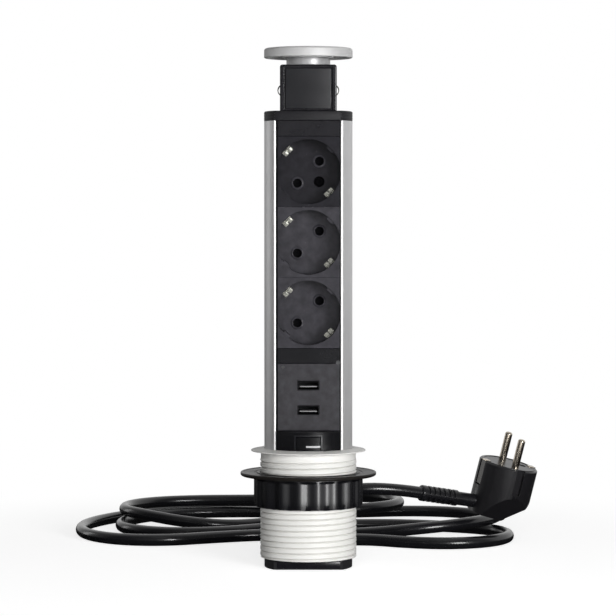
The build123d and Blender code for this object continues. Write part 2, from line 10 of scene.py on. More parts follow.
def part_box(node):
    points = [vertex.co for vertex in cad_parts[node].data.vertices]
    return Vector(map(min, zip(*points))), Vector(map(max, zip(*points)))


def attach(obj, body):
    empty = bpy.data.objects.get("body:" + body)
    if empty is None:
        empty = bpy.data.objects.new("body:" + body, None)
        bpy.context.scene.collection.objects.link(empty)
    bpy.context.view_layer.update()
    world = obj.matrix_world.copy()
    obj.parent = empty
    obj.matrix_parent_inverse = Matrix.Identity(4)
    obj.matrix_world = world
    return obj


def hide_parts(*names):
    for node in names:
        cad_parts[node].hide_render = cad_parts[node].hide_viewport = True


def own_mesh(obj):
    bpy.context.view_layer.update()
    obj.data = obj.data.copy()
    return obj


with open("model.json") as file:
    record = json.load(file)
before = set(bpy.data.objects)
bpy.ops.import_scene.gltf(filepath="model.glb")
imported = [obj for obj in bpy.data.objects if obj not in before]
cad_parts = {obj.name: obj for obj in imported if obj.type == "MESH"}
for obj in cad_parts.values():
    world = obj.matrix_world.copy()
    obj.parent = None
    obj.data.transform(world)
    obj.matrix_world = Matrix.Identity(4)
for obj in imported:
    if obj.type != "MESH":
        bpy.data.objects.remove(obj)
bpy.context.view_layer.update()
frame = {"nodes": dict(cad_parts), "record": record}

# Pull-up desk socket tower: sizes below are in millimetres, the scene is in metres
mm = 0.001


def linked(name, data):
    item = bpy.data.objects.new(name, data)
    bpy.context.scene.collection.objects.link(item)
    return item


# Camera: a long lens far in front, looking a little down
cameraSet = {"x": -0.2, "distance": 1600.0, "height": 218.0, "pitchDown": 2.138, "lens": 153.3, "clipEnd": 30.0}


def makeCamera(v):
    cam = bpy.data.cameras.new("camera")
    cam.lens = v["lens"]
    cam.clip_end = v["clipEnd"]
    holder = linked("camera", cam)
    holder.location = (v["x"] * mm, -v["distance"] * mm, v["height"] * mm)
    holder.rotation_euler = (math.radians(90 - v["pitchDown"]), 0, 0)
    bpy.context.scene.camera = holder


makeCamera(cameraSet)
print("camera placed")


# Shader maths as plain arithmetic: each operator adds one Math node
class Wire:
    def __init__(self, tree, socket):
        self.tree, self.socket = tree, socket

    # another output of the same node
    def out(self, name):
        return Wire(self.tree, self.socket.node.outputs[name])

    def maths(self, kind, *terms):
        box = self.tree.nodes.new("ShaderNodeMath")
        box.operation = kind
        for socketIn, value in zip(box.inputs, terms):
            plug(self.tree, socketIn, value)
        return Wire(self.tree, box.outputs[0])

    def __add__(self, other): return self.maths("ADD", self, other)
    def __sub__(self, other): return self.maths("SUBTRACT", self, other)
    def __mul__(self, other): return self.maths("MULTIPLY", self, other)
    def __truediv__(self, other): return self.maths("DIVIDE", self, other)
    def __pow__(self, other): return self.maths("POWER", self, other)
    def __gt__(self, other): return self.maths("GREATER_THAN", self, other)
    def __lt__(self, other): return self.maths("LESS_THAN", self, other)
    def __radd__(self, other): return self.maths("ADD", other, self)
    def __rsub__(self, other): return self.maths("SUBTRACT", other, self)
    def __rmul__(self, other): return self.maths("MULTIPLY", other, self)
    def __rtruediv__(self, other): return self.maths("DIVIDE", other, self)


def plug(tree, socketIn, value):
    if isinstance(value, Wire):
        tree.links.new(value.socket, socketIn)
    elif socketIn.type == "RGBA" and len(value) == 3:
        socketIn.default_value = (*value, 1.0)
    else:
        socketIn.default_value = value


class Finish:
    # a new material, or a tree that is given, and one method that adds any node
    def __init__(self, name, tree=None):
        if tree is None:
            self.material = bpy.data.materials.new(name)
            self.material.use_nodes = True
            tree = self.material.node_tree
        self.tree = tree
        tree.nodes.clear()
        self.coords = self.add("ShaderNodeTexCoord", out="Object")

    def add(self, kind, settings=None, inputs=None, out=0):
        box = self.tree.nodes.new(kind)
        for key, value in (settings or {}).items():
            setattr(box, key, value)
        for key, value in (inputs or {}).items():
            plug(self.tree, box.inputs[key], value)
        return Wire(self.tree, box.outputs[out])

    def maths(self, kind, *terms):
        return next(t for t in terms if isinstance(t, Wire)).maths(kind, *terms)

    def axes(self, vector):
        x = self.add("ShaderNodeSeparateXYZ", {}, {"Vector": vector}, "X")
        return x, x.out("Y"), x.out("Z")

    # low where the value is under start, high where it is over end, eased between
    def ramp(self, value, start, end, low=0.0, high=1.0):
        return self.add("ShaderNodeMapRange", {"interpolation_type": "SMOOTHSTEP", "clamp": True},
                        {"Value": value, "From Min": start, "From Max": end, "To Min": low, "To Max": high})

    # noise of about 1 mm / scale, stretched along an axis where that axis' factor is small
    def noise(self, scale, detail=3.0, stretch=(1, 1, 1), rough=0.55):
        at = self.add("ShaderNodeMapping", {"vector_type": "POINT"}, {"Vector": self.coords, "Scale": stretch})
        return self.add("ShaderNodeTexNoise", {},
                        {"Vector": at, "Scale": scale / mm, "Detail": detail, "Roughness": rough})

    def mixColour(self, share, low, high):
        return self.add("ShaderNodeMix", {"data_type": "RGBA"}, {0: share, 6: low, 7: high}, 2)

    def bump(self, height, depth):
        return self.add("ShaderNodeBump", {}, {"Height": height, "Distance": depth * mm, "Strength": 1.0})

    # the last node, which takes the shader
    def show(self, shader, kind="ShaderNodeOutputMaterial"):
        plug(self.tree, self.tree.nodes.new(kind).inputs["Surface"], shader)

    # a Principled shader; the values in even are the same all over the surface
    def close(self, colour, roughness, normal, **even):
        names = {"metallic": "Metallic", "coat": "Coat Weight", "coatRough": "Coat Roughness",
                 "specular": "Specular IOR Level"}
        inputs = {"Base Color": colour, "Roughness": roughness, "Normal": normal}
        inputs.update({names[key]: value for key, value in even.items()})
        self.show(self.add("ShaderNodeBsdfPrincipled", {}, inputs))
        return self.material


# The colour times a factor, no brighter than white
def tint(colour, factor):
    return tuple(min(1.0, c * factor) for c in colour)


# Moulded plastic: mottled colour, fine spark-erosion grain, roughness that varies a little
def plastic(name, colour, rough, grain=2.2, grainDepth=0.012, mottle=0.16, coat=0.0, roughSwing=0.10, specular=0.4,
            patch=0.09):
    f = Finish(name)
    broad = f.noise(patch, 4.0)
    fine = f.noise(grain, 2.0)
    shade = f.mixColour(broad, tint(colour, 1 - mottle), tint(colour, 1 + mottle))
    roughness = rough + (broad - 0.5) * roughSwing + (fine - 0.5) * roughSwing
    return f.close(shade, roughness, f.bump(fine, grainDepth), coat=coat, coatRough=0.12, specular=specular)


# Metal: fine drawing lines along one way, faint clouding; share is how metallic it is
def metal(name, colour, rough, stretch=(1, 1, 0.02), lines=3.0, lineDepth=0.004, swing=0.08, cloud=0.08, share=1.0):
    f = Finish(name)
    drawn = f.noise(lines, 3.0, stretch)
    broad = f.noise(0.06, 3.0)
    shade = f.mixColour(broad * 0.5 + drawn * 0.5, tint(colour, 1 - cloud), tint(colour, 1 + cloud))
    return f.close(shade, rough + (drawn - 0.5) * swing, f.bump(drawn, lineDepth), metallic=share)


# Turned metal: lines follow the radius from the tower's axis, on flat faces, and the height on the rim
def turned(name, colour, rough, lines, share):
    f = Finish(name)
    x, y, z = f.axes(f.coords)
    radius = (x * x + y * y) ** 0.5
    spot = f.add("ShaderNodeCombineXYZ", {}, {"X": radius, "Y": z})
    ridges = f.add("ShaderNodeTexNoise", {"noise_dimensions": "2D"},
                   {"Vector": spot, "Scale": lines / mm, "Detail": 2.0})
    cloud = f.noise(0.08, 3.0)
    shade = f.mixColour(cloud * 0.6 + ridges * 0.4, tint(colour, 0.9), tint(colour, 1.06))
    return f.close(shade, rough + (ridges - 0.5) * 0.08, f.bump(ridges, 0.004), metallic=share)


# Sleeve: the moulded white, with painted shade along the thread's root line, which climbs one pitch a turn.
# The painted shade shows between two heights and outside a radius, in millimetres
def threadedPlastic(name, colour, root, rough, pitch, low, high, skin, rootShadeWidth):
    f = Finish(name)
    x, y, z = f.axes(f.coords)
    turn = f.maths("ARCTAN2", y, x) / (2 * math.pi)
    off = f.maths("ABSOLUTE", f.maths("FRACT", z / (pitch * mm) - turn + 20.0) - 0.5) * 2.0
    line = f.ramp(off, *rootShadeWidth, 1.0, 0.0)
    inside = (z > low * mm) * (z < high * mm) * ((x * x + y * y) > (skin * mm) ** 2)
    cloud = f.noise(0.10, 3.0)
    fine = f.noise(1.2, 2.0)
    clean = f.mixColour(cloud, tint(colour, 0.97), tint(colour, 1.02))
    # the root colour is painted shade in the thread's groove
    shade = f.mixColour(line * inside, clean, root)
    return f.close(shade, rough + (cloud - 0.5) * 0.12, f.bump(fine, 0.01), specular=0.2)


# Head panel: black moulding whose sheen turns with the slightly crowned face
def crownedPlastic(name, colour, rough, half, crown):
    f = Finish(name)
    x = f.axes(f.coords)[0]
    broad, fine = f.noise(0.09, 4.0), f.noise(1.6, 2.0)
    bend = (x / (half * mm)) * (x / (half * mm)) * -crown + fine * 0.02
    shade = f.mixColour(broad, tint(colour, 0.7), tint(colour, 1.3))
    return f.close(shade, rough + (broad - 0.5) * 0.12, f.bump(bend, 1.0), specular=0.4)


along = (1, 0.05, 1)  # lines that run to the back
finishes = {
    # the sleeve's second colour is painted shade for the thread's root
    "white_sleeve": threadedPlastic("whiteSleevePlastic", (0.80, 0.795, 0.77), (0.48, 0.47, 0.45), 0.38, pitch=3.4,
                                    low=6.6, high=66.4, skin=28.0, rootShadeWidth=(0.02, 0.16)),
    "washer_plastic": plastic("washerGrainPlastic", (0.012, 0.0105, 0.0095), 0.34, grain=0.7, grainDepth=0.16,
                              mottle=0.45, roughSwing=0.25, specular=0.1),
    "nut_plastic": plastic("nutGlossPlastic", (0.0045, 0.0045, 0.006), 0.25, grain=0.8, grainDepth=0.003, coat=0.25,
                           roughSwing=0.05, specular=0.5),
    "profile_aluminium": metal("drawnAluminium", (0.60, 0.60, 0.605), 0.42, lines=2.2, cloud=0.16, swing=0.16,
                               share=0.75),
    # the lips' near-white, barely metallic copy of the aluminium is a painted highlight
    "lip_highlight_aluminium": metal("lipPaintedHighlight", (0.92, 0.92, 0.92), 0.30, lines=0.4, lineDepth=0.0005, cloud=0.04,
                           share=0.2),
    "insert_plastic": plastic("insertPlastic", (0.0078, 0.0074, 0.0098), 0.24, grain=1.6, grainDepth=0.010,
                              mottle=0.35, specular=0.30),
    "socket_plastic": plastic("socketPlastic", (0.034, 0.0327, 0.0390), 0.24, grain=1.1, mottle=0.55, specular=0.22,
                              patch=0.2),
    # the upper socket's copy is darker than the lower two's: painted shade, less light reaching it
    "upper_shaded_plastic": plastic("upperSocketShadedPlastic", (0.0125, 0.0120, 0.0155), 0.24, grain=1.1, mottle=0.55,
                             specular=0.2, patch=0.2),
    "spacer_plastic": plastic("spacerPlastic", (0.005, 0.005, 0.0065), 0.25, grain=1.4, grainDepth=0.02, mottle=0.4,
                              specular=0.25),
    # near-black cups and strips: painted shade inside holes and gaps
    "painted_shade_black": plastic("paintedShadeBlack", (0.0012, 0.0012, 0.0016), 0.6, grain=1.2, specular=0.03),
    "head_plastic": crownedPlastic("headPanelPlastic", (0.0075, 0.0075, 0.0095), 0.30, half=13.7, crown=0.55),
    "cap_plastic": plastic("capMattPlastic", (0.0125, 0.0122, 0.0140), 0.5, grain=1.2, grainDepth=0.02, mottle=0.3,
                           specular=0.18),
    "usb_plastic": plastic("usbPanelPlastic", (0.027, 0.026, 0.030), 0.5, grain=1.7, grainDepth=0.05, mottle=0.85,
                           specular=0.25, patch=0.22),
    "gloss_plastic": plastic("latchGlossPlastic", (0.003, 0.003, 0.004), 0.14, grain=0.5, grainDepth=0.003, coat=0.1,
                             specular=0.3),
    "frame_plastic": plastic("framePlastic", (0.012, 0.012, 0.014), 0.38, grain=1.0, specular=0.3),
    "rim_plastic": plastic("screwRimPlastic", (0.045, 0.045, 0.048), 0.4, grain=1.2),
    # pale grey: a painted highlight on the button's foot
    "ledge_highlight_plastic": plastic("ledgeHighlightPlastic", (0.45, 0.45, 0.46), 0.4, grain=1.2),
    "inner_plastic": plastic("innerPlastic", (0.24, 0.24, 0.245), 0.45),
    "earth_steel": metal("earthStripNickel", (0.97, 0.97, 0.85), 0.15, along, lines=2.0, share=0.75),
    # near-black brass: painted shade in the pin holes in front of it
    "contact_brass": metal("contactBrassInShade", (0.004, 0.0035, 0.003), 0.6, along),
    "shell_steel": metal("portShellSteel", (0.016, 0.016, 0.017), 0.35, along),
    "circuit_board": plastic("boardResist", (0.02, 0.12, 0.05), 0.35, grain=0.9),
    "transformer": plastic("windingTape", (0.55, 0.38, 0.05), 0.5, grain=0.7),
    "capacitor_sleeve": plastic("capacitorSleeve", (0.03, 0.035, 0.07), 0.3),
    "spring_steel": metal("springSteel", (0.60, 0.60, 0.61), 0.28, (1, 1, 1)),
    "catch_metal": metal("catchBronze", (0.035, 0.033, 0.018), 0.45, along, lines=2.0, share=0.3),
    "neck_metal": metal("neckAluminium", (0.38, 0.38, 0.385), 0.4, lines=0.9, cloud=0.35, swing=0.2, lineDepth=0.02,
                        share=0.4),
    "cap_silver": turned("capSilver", (0.52, 0.52, 0.52), 0.52, lines=2.6, share=0.15),
    "plug_plastic": plastic("plugPlastic", (0.0085, 0.0082, 0.0095), 0.34, grain=1.6, grainDepth=0.010, coat=0.1),
    "pin_nickel": metal("pinNickel", (0.52, 0.46, 0.38), 0.16, (0.6, 0.6, 0.08), lines=1.2, cloud=0.45, swing=0.2),
    # the plug's side strips: a darkened copy of the pin nickel, painted shade; their folded ends use the bright pin
    # nickel
    "shaded_strip_nickel": metal("stripNickelShaded", (0.06, 0.058, 0.055), 0.24, (0.3, 0.3, 0.3), lines=1.2, cloud=0.2,
                          share=0.8),
    "flex_rubber": plastic("flexSheath", (0.0065, 0.0065, 0.0078), 0.25, grain=1.2, grainDepth=0.006, coat=0.15),
    "wire_copper": plastic("conductorSheath", (0.16, 0.07, 0.03), 0.4),
}
print("finishes made")

sharpAngle = 32.0  # degrees, past which an edge stays crisp
boxAngle = 40.0    # the same for small boxes
mergeNear = 1e-6   # metres


# Puts a worked shape into a mesh, shaded smooth between its sharp edges
def written(work, mesh, sharp):
    for face in work.faces:
        face.smooth = True
    work.to_mesh(mesh)
    work.free()
    mesh.set_sharp_from_angle(angle=math.radians(sharp))
    return mesh


# points[row, column] joined by four-sided faces: a row's end joins its start, and wrapped rows join last to first
def gridFaces(rows, cols, wrapRows):
    r, c = np.meshgrid(np.arange(rows if wrapRows else rows - 1), np.arange(cols), indexing="ij")
    r2, c2 = (r + 1) % rows, (c + 1) % cols
    return np.stack([r * cols + c, r * cols + c2, r2 * cols + c2, r2 * cols + c], -1).reshape(-1, 4)


# One or more grids of points, in millimetres, into one closed mesh, its doubles merged and its faces outwards
def meshOf(grids, wrapRows=False, sharp=sharpAngle, capped=False):
    verts, faces, start = [], [], 0
    for points in grids:
        rows, cols = points.shape[:2]
        verts.append(points.reshape(-1, 3) * mm)
        faces += (gridFaces(rows, cols, wrapRows) + start).tolist()
        if capped:  # flat ends
            last = start + (rows - 1) * cols
            faces += [list(range(start, start + cols))[::-1], list(range(last, last + cols))]
        start += rows * cols
    mesh = bpy.data.meshes.new("grid")
    mesh.from_pydata(np.concatenate(verts).tolist(), [], faces)
    work = bmesh.new()
    work.from_mesh(mesh)
    bmesh.ops.remove_doubles(work, verts=work.verts, dist=mergeNear)
    bmesh.ops.dissolve_degenerate(work, edges=work.edges, dist=mergeNear / 2)
    bmesh.ops.recalc_face_normals(work, faces=work.faces)
    return written(work, mesh, sharp)


def addPiece(name, data, body, slotName, nodes=(), finish=None):
    data.name = name
    data.materials.clear()
    data.materials.append(finishes[finish or slotName])
    piece = linked(name, data)
    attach(piece, body)
    if nodes:
        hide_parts(*nodes)
    return piece


# An outline with its corners rounded: each corner (a, b, radius) becomes an arc of steps points
def rounded(corners, steps=5, closed=True):
    out = []
    count = len(corners)
    for i, (a, b, radius) in enumerate(corners):
        here = np.array([a, b], float)
        if radius <= 0 or (not closed and i in (0, count - 1)):
            out.append(here[None])
            continue
        before = np.array(corners[i - 1][:2], float) - here
        after = np.array(corners[(i + 1) % count][:2], float) - here
        u, w = before / np.linalg.norm(before), after / np.linalg.norm(after)
        half = math.acos(np.clip(u @ w, -1, 1)) / 2
        reach = radius / math.tan(half)
        middle = here + (u + w) / np.linalg.norm(u + w) * radius / math.sin(half)
        start, end = here + u * reach - middle, here + w * reach - middle
        swing = math.atan2(start[0] * end[1] - start[1] * end[0], start @ end)
        turn = np.linspace(0, swing, steps)[:, None]
        across = np.array([-start[1], start[0]])
        out.append(middle + start * np.cos(turn) + across * np.sin(turn))
    return np.concatenate(out)


# Turns a profile of (radius, height) rows round the vertical: x = r cos a, y = r sin a
def revolve(profile, segments):
    angle = np.linspace(0, 2 * np.pi, segments, endpoint=False)
    r, z = profile[:, 0][:, None], profile[:, 1][:, None]
    return np.stack([r * np.cos(angle), r * np.sin(angle), z + 0 * angle], -1)


# Carries an outline of (radius, height) round the tower, from the front: x = r sin a, y = -r cos a
def swept(outline, angle):
    r, z, a = outline[:, 0], outline[:, 1], angle[:, None]
    return np.stack([r * np.sin(a), -r * np.cos(a), z + 0 * a], -1)


def smoothStep(t):
    t = np.clip(t, 0, 1)
    return t * t * (3 - 2 * t)


# A copy of a CAD node, merged and with its sharp edges rounded
def edgedCopy(node, name, width, body, slotName, finish=None, segments=2):
    work = bmesh.new()
    mesh = frame["nodes"][node].data.copy()
    work.from_mesh(mesh)
    bmesh.ops.remove_doubles(work, verts=work.verts, dist=2 * mergeNear)
    bmesh.ops.dissolve_limit(work, angle_limit=math.radians(0.6), verts=work.verts, edges=work.edges)
    piece = addPiece(name, written(work, mesh, sharpAngle), body, slotName, (node,), finish)
    if width > 0:
        bevel = piece.modifiers.new("edge", "BEVEL")
        bevel.width = width * mm
        bevel.segments = segments
        bevel.limit_method = "ANGLE"
        bevel.angle_limit = math.radians(sharpAngle)
        bevel.use_clamp_overlap = True
        flat = piece.modifiers.new("flatFaces", "WEIGHTED_NORMAL")
        flat.keep_sharp = True
        flat.weight = 80
    return piece


# Flex: a round cord along a given route, from the boot through the loose coil to the plug
flexSet = {
    "radius": 3.9, "length": 2216.7,
    "route": [
        (-16, 42, 4), (-16, 61.5, 4), (-5.2, 84.5, 4), (16.3, 98.1, 4), (41.8, 98, 4), (63.2, 84.2, 4), (88.4, 77, 4),
        (113.3, 84.8, 4), (129.9, 105, 4), (132.7, 131.3, 4), (120.2, 155.2, 4), (92.1, 170.3, 4), (60, 180, 4),
        (24, 178, 4), (-6, 170, 4), (-33, 154, 4),
        (-58, 136, 4), (-90, 131, 4), (-117, 146, 4), (-129, 175, 4), (-125, 208, 4), (-105, 237, 4), (-75, 252, 4),
        (-38, 255, 4), (-2, 250, 4), (34, 252, 4), (70, 262, 4), (104, 255, 4), (127, 232, 4), (133, 202, 7.5),
        (130, 171, 12.4), (122, 140, 12.4), (103, 114, 12.4), (73, 104, 10.5), (42, 111, 6.5), (8, 122, 4),
        (-28, 124, 4), (-62, 110, 4), (-92, 94, 4), (-122, 98, 4), (-144, 120, 4), (-153.5, 151, 4), (-151, 186, 4),
        (-137, 218, 4), (-116, 246, 4), (-86, 266, 4), (-52, 280, 4), (-20, 288, 4), (5, 291, 6), (33, 290, 11),
        (57, 272, 12.4), (66, 244, 12.4), (57, 216, 12.4), (33, 198, 12.4), (3, 198, 8.5), (-26, 184, 4.5),
        (-54, 164, 5), (-84, 157, 8.5), (-111, 168, 12.2), (-127, 192, 12.4), (-125.8, 220.8, 12.4), (-108, 243, 12.4),
        (-80, 253, 12.4), (-50, 255, 12.4), (-22, 246, 13.5), (-3, 225, 17.5), (4, 194, 17.5), (-7, 164, 14),
        (-13, 132, 16), (-7, 102, 24.4), (13.9, 80.8, 36.4), (45.0227, 75.4757, 40.8954),
        (72.0314, 87.4686, 35.7277),
    ],
}


def makeFlex(v):
    curve = bpy.data.curves.new("flex", "CURVE")
    curve.dimensions = "3D"
    spline = curve.splines.new("NURBS")
    spline.points.add(len(v["route"]) - 1)
    spline.points.foreach_set("co", np.array([(x * mm, y * mm, z * mm, 1.0) for x, y, z in v["route"]]).ravel())
    spline.order_u = 3
    spline.use_endpoint_u = True
    spline.use_smooth = True
    curve.resolution_u = 8
    curve.bevel_depth = v["radius"] * mm
    curve.bevel_resolution = 7
    curve.use_fill_caps = True
    return addPiece("flex", curve, "tower", "flex_rubber", ["cord"])


flex = makeFlex(flexSet)
print("flex laid")

# Sleeve: radius(angle, height) = crest - depth * groove((height - pitch * turns) / pitch), with a sloping flange
sleeveSet = {
    "crest": 29.4, "depth": 1.05, "pitch": 3.4, "grooveShare": 0.40, "flatShare": 0.04, "crease": 0.10,
    "creaseFrom": 0.8, "bottom": 6.3, "threadTop": 66.6, "fade": 1.6, "neckIn": 0.4, "flangeR": 35.2,
    "flangeUnder": 71.2, "flangeEdge": 71.75, "top": 73.1, "ringR": 27.15, "ringFoot": 66.2, "boreR": 27.8,
    "columns": 216, "rowStep": 0.2, "notchX": -16.0, "notchHalf": 8.1, "notchTop": 8.5,
}


def makeSleeve(v):
    outer = np.arange(v["bottom"] + 0.25, v["threadTop"] + 1.0, v["rowStep"])
    neckR = v["crest"] - v["neckIn"]
    under = rounded([(neckR, v["threadTop"] + 1.5, 0), (neckR, v["flangeUnder"], 0.9),
                     (v["flangeR"] - 0.2, v["flangeUnder"], 0.35), (v["flangeR"], v["flangeEdge"], 0.4),
                     (v["ringR"] + 1.2, v["top"], 1.0), (v["ringR"], v["top"] - 0.2, 0.3),
                     (v["ringR"], v["ringFoot"], 0.2), (v["boreR"], v["ringFoot"], 0.2),
                     (v["boreR"], v["bottom"], 0.25), (v["crest"] - 0.3, v["bottom"], 0)], 6, closed=False)
    profile = np.concatenate([np.stack([np.full_like(outer, v["crest"]), outer], 1), under])
    points = revolve(profile, v["columns"])
    angle = np.linspace(0, 1, v["columns"], endpoint=False)
    z = outer[:, None]
    # groove: 1 on its flat root, a cosine up to the rounded crest, 0 on the crest, with a faint crease between crests
    off = np.abs((z / v["pitch"] - angle) % 1.0 - 0.5) * 2
    ramp = np.clip((off - v["flatShare"]) / (v["grooveShare"] - v["flatShare"]), 0, 1)
    groove = 0.5 + 0.5 * np.cos(np.pi * ramp)
    crease = v["crease"] * np.clip((off - v["creaseFrom"]) / (1 - v["creaseFrom"]), 0, 1)
    fade = smoothStep((z - v["bottom"] + 0.6) / v["fade"]) * smoothStep((v["threadTop"] - z) / v["fade"])
    neck = v["neckIn"] * smoothStep((z - v["threadTop"] + 0.8) / 1.2)
    radius = v["crest"] - (v["depth"] * groove + crease) * fade - neck
    turn = angle * 2 * np.pi
    points[:len(outer), :, 0] = radius * np.cos(turn)
    points[:len(outer), :, 1] = radius * np.sin(turn)
    # at the back the lower edge steps up over the boot
    over = (np.abs(points[..., 0] - v["notchX"]) < v["notchHalf"]) & (points[..., 1] > 0)
    points[..., 2] = np.where(over, np.maximum(points[..., 2], v["notchTop"]), points[..., 2])
    addPiece("threadedSleeve", meshOf([points], wrapRows=True), "sleeve", "white_sleeve", ["sleeve"])


makeSleeve(sleeveSet)

# Clamp washer: its profile turned round the tower, with a rolled edge, a groove and a raised collar
washerSet = {"bore": 29.6, "outer": 41.5, "low": 56.0, "high": 58.3, "rim": 1.3, "dish": 0.35, "grooveIn": 31.8,
             "grooveOut": 33.0, "grooveFloor": 0.8}


def makeWasher(v):
    inner, dish, floor = v["outer"] - v["rim"], v["high"] - v["dish"], v["high"] - v["grooveFloor"]
    profile = rounded([
        (v["bore"], v["low"], 0.25), (v["outer"], v["low"], 1.1), (v["outer"], v["high"], 0.6), (inner, v["high"], 0.6),
        (inner - 0.7, dish, 0.5), (v["grooveOut"] + 0.5, dish, 0.2), (v["grooveOut"], floor, 0.2),
        (v["grooveIn"], floor, 0.2), (v["grooveIn"] - 0.3, v["high"], 0.3), (v["bore"], v["high"], 0.3)], 7)
    mesh = meshOf([revolve(profile, 160)], wrapRows=True)
    addPiece("clampWasher", mesh, "clamp_washer", "washer_plastic", ["clamp_washer"])


makeWasher(washerSet)

# Clamp nut: radius = outer - depth * (0.5 + 0.5 cos(lobes * turn)), the waves dying out under the top band
nutSet = {"outer": 33.3, "bore": 29.6, "low": 37.3, "high": 55.7, "lobes": 18, "perLobe": 30, "depth": 1.5,
          "band": 0.6, "blend": 1.5, "blendRows": 5.6, "edge": 0.45, "chamfer": 0.35, "footIn": 2.0, "front": -90.0}


def makeNut(v):
    low, high, outer = v["low"], v["high"], v["outer"]
    rows = np.concatenate([np.linspace(low + v["edge"], high - v["blendRows"] - 0.4, 5),
                           np.linspace(high - v["blendRows"], high - 0.9, 16)])
    inside = rounded([(outer, high - 0.7, 0), (outer, high, v["edge"]), (v["bore"], high, 0.3), (v["bore"], low, 0.3),
                      (outer - v["footIn"], low, 0)], 6, closed=False)
    profile = np.concatenate([np.stack([np.full_like(rows, outer), rows], 1), inside])
    columns = v["lobes"] * v["perLobe"]
    points = revolve(profile, columns)
    turn = np.linspace(0, 2 * np.pi, columns, endpoint=False)
    wave = 0.5 + 0.5 * np.cos(v["lobes"] * (turn - math.radians(v["front"])))
    z = rows[:, None]
    share = smoothStep((high - v["band"] - z) / v["blend"])
    chamfer = v["chamfer"] * smoothStep((low + 0.5 - z) / 0.1)
    radius = outer - v["depth"] * wave * share - chamfer
    points[:len(rows), :, 0] = radius * np.cos(turn)
    points[:len(rows), :, 1] = radius * np.sin(turn)
    addPiece("clampNut", meshOf([points], wrapRows=True, sharp=50.0), "clamp_nut", "nut_plastic", ["clamp_nut"])


makeNut(nutSet)
print("sleeve, washer and nut made")

# Tower mouldings, CAD shapes with their edges rounded: CAD node, edge radius, material slot, finish where it differs
mouldings = {
    "aluminiumProfile": ("tower_profile", 0.35, "profile_aluminium", None),
    "blankPanel": ("blank_panel", 0.3, "insert_plastic", None),
    "lowerSocket": ("socket_lower", 0.45, "insert_plastic", "socket_plastic"),
    "middleSocket": ("socket_middle", 0.45, "insert_plastic", "socket_plastic"),
    "upperSocket": ("socket_upper", 0.45, "insert_plastic", "upper_shaded_plastic"),
    "spacerStrip": ("spacer_strip", 0.25, "insert_plastic", "spacer_plastic"),
    "usbPanel": ("usb_panel", 0.3, "insert_plastic", "usb_plastic"),
    "usbShells": ("usb_shells", 0.08, "shell_steel", None),
    "latchHousing": ("latch_housing", 0.3, "gloss_plastic", None),
    "stopCollar": ("stop_collar", 0.3, "inner_plastic", None),
    "lowerPanel": ("lower_panel", 0.3, "insert_plastic", None),
    "bottomCap": ("bottom_cap", 0.35, "insert_plastic", "cap_plastic"),
    "topEndCap": ("top_end_cap", 0.4, "insert_plastic", "cap_plastic"),
    "headBlock": ("head_block", 0.35, "insert_plastic", None),
    "headPanel": ("head_panel", 0.2, "insert_plastic", "head_plastic"),
    "plugBody": ("plug_body", 0.9, "plug_plastic", None),
    "plugPins": ("plug_pins", 0.0, "pin_nickel", None),
    "plugEarthContacts": ("plug_earth_contacts", 0.12, "pin_nickel", "shaded_strip_nickel"),
    "plugRelief": ("plug_strain_relief", 0.25, "flex_rubber", None),
    "flexBoot": ("cord_boot", 0.35, "flex_rubber", None),
}
pieces = {name: edgedCopy(node, name, width, "tower", slotName, finish)
          for name, (node, width, slotName, finish) in mouldings.items()}

# The pressed pieces: node and body share a name
pressed = {
    "releaseButton": ("release_button", 0.45, "gloss_plastic", 3),
    "catchLeft": ("head_catch_left", 0.15, "catch_metal", 2),
    "catchRight": ("head_catch_right", 0.15, "catch_metal", 2),
}
for name, (node, width, slotName, segments) in pressed.items():
    edgedCopy(node, name, width, node, slotName, segments=segments)

# The head panel and its groove reach lower than in the CAD: points in each band, in front, drop
panelDrop = {"drop": 1.2, "before": -13.0, "bands": {"headBlock": (279.3, 279.7), "headPanel": (280.2, 280.9)}}


def lowerHead(v):
    for name, (low, high) in v["bands"].items():
        mesh = pieces[name].data
        spots = np.empty(len(mesh.vertices) * 3)
        mesh.vertices.foreach_get("co", spots)
        spots = spots.reshape(-1, 3)
        pick = (spots[:, 2] > low * mm) & (spots[:, 2] < high * mm) & (spots[:, 1] < v["before"] * mm)
        spots[pick, 2] -= v["drop"] * mm
        mesh.vertices.foreach_set("co", spots.ravel())


lowerHead(panelDrop)
print("tower mouldings dressed")


# A strip bent along a line of (a, b) points: its section is a rounded slot, thick by wide, across the third axis
def bentStrip(line, thick, wide, place, shift=0.0):
    line = np.asarray(line, float)
    ahead = np.gradient(line, axis=0)
    ahead /= np.linalg.norm(ahead, axis=1)[:, None]
    normal = np.stack([-ahead[:, 1], ahead[:, 0]], 1)
    t, w = thick / 2, wide / 2
    section = np.array([(t, -w + t), (t, w - t), (t * 0.7, w - t * 0.3), (0, w), (-t * 0.7, w - t * 0.3), (-t, w - t),
                        (-t, -w + t), (-t * 0.7, -w + t * 0.3), (0, -w), (t * 0.7, -w + t * 0.3)])
    flat = line[:, None, :] + normal[:, None, :] * section[None, :, :1]
    across = np.broadcast_to(section[None, :, 1:] + shift, flat.shape[:2] + (1,))
    return place(np.concatenate([flat, across], -1))


# Earth clips: two sprung prongs a socket, each slit into two fingers with a crown and a curled tip, on a strap
socketSet = {"heights": (155.9, 198.5, 241.1), "floor": 0.6, "pinOff": 6.718, "pinHole": 2.7}
clipSet = {"reach": 18.25, "strapY": 3.5, "strap": 6.0, "thick": 0.55, "finger": 2.9, "gap": 0.5, "rootY": -7.6,
           "crownIn": 2.3, "crownY": -11.4, "tipY": -13.9, "curl": ((-0.1, 0.9), (0.55, 0.35), (0.6, 1.6)), "bend": 0.8}


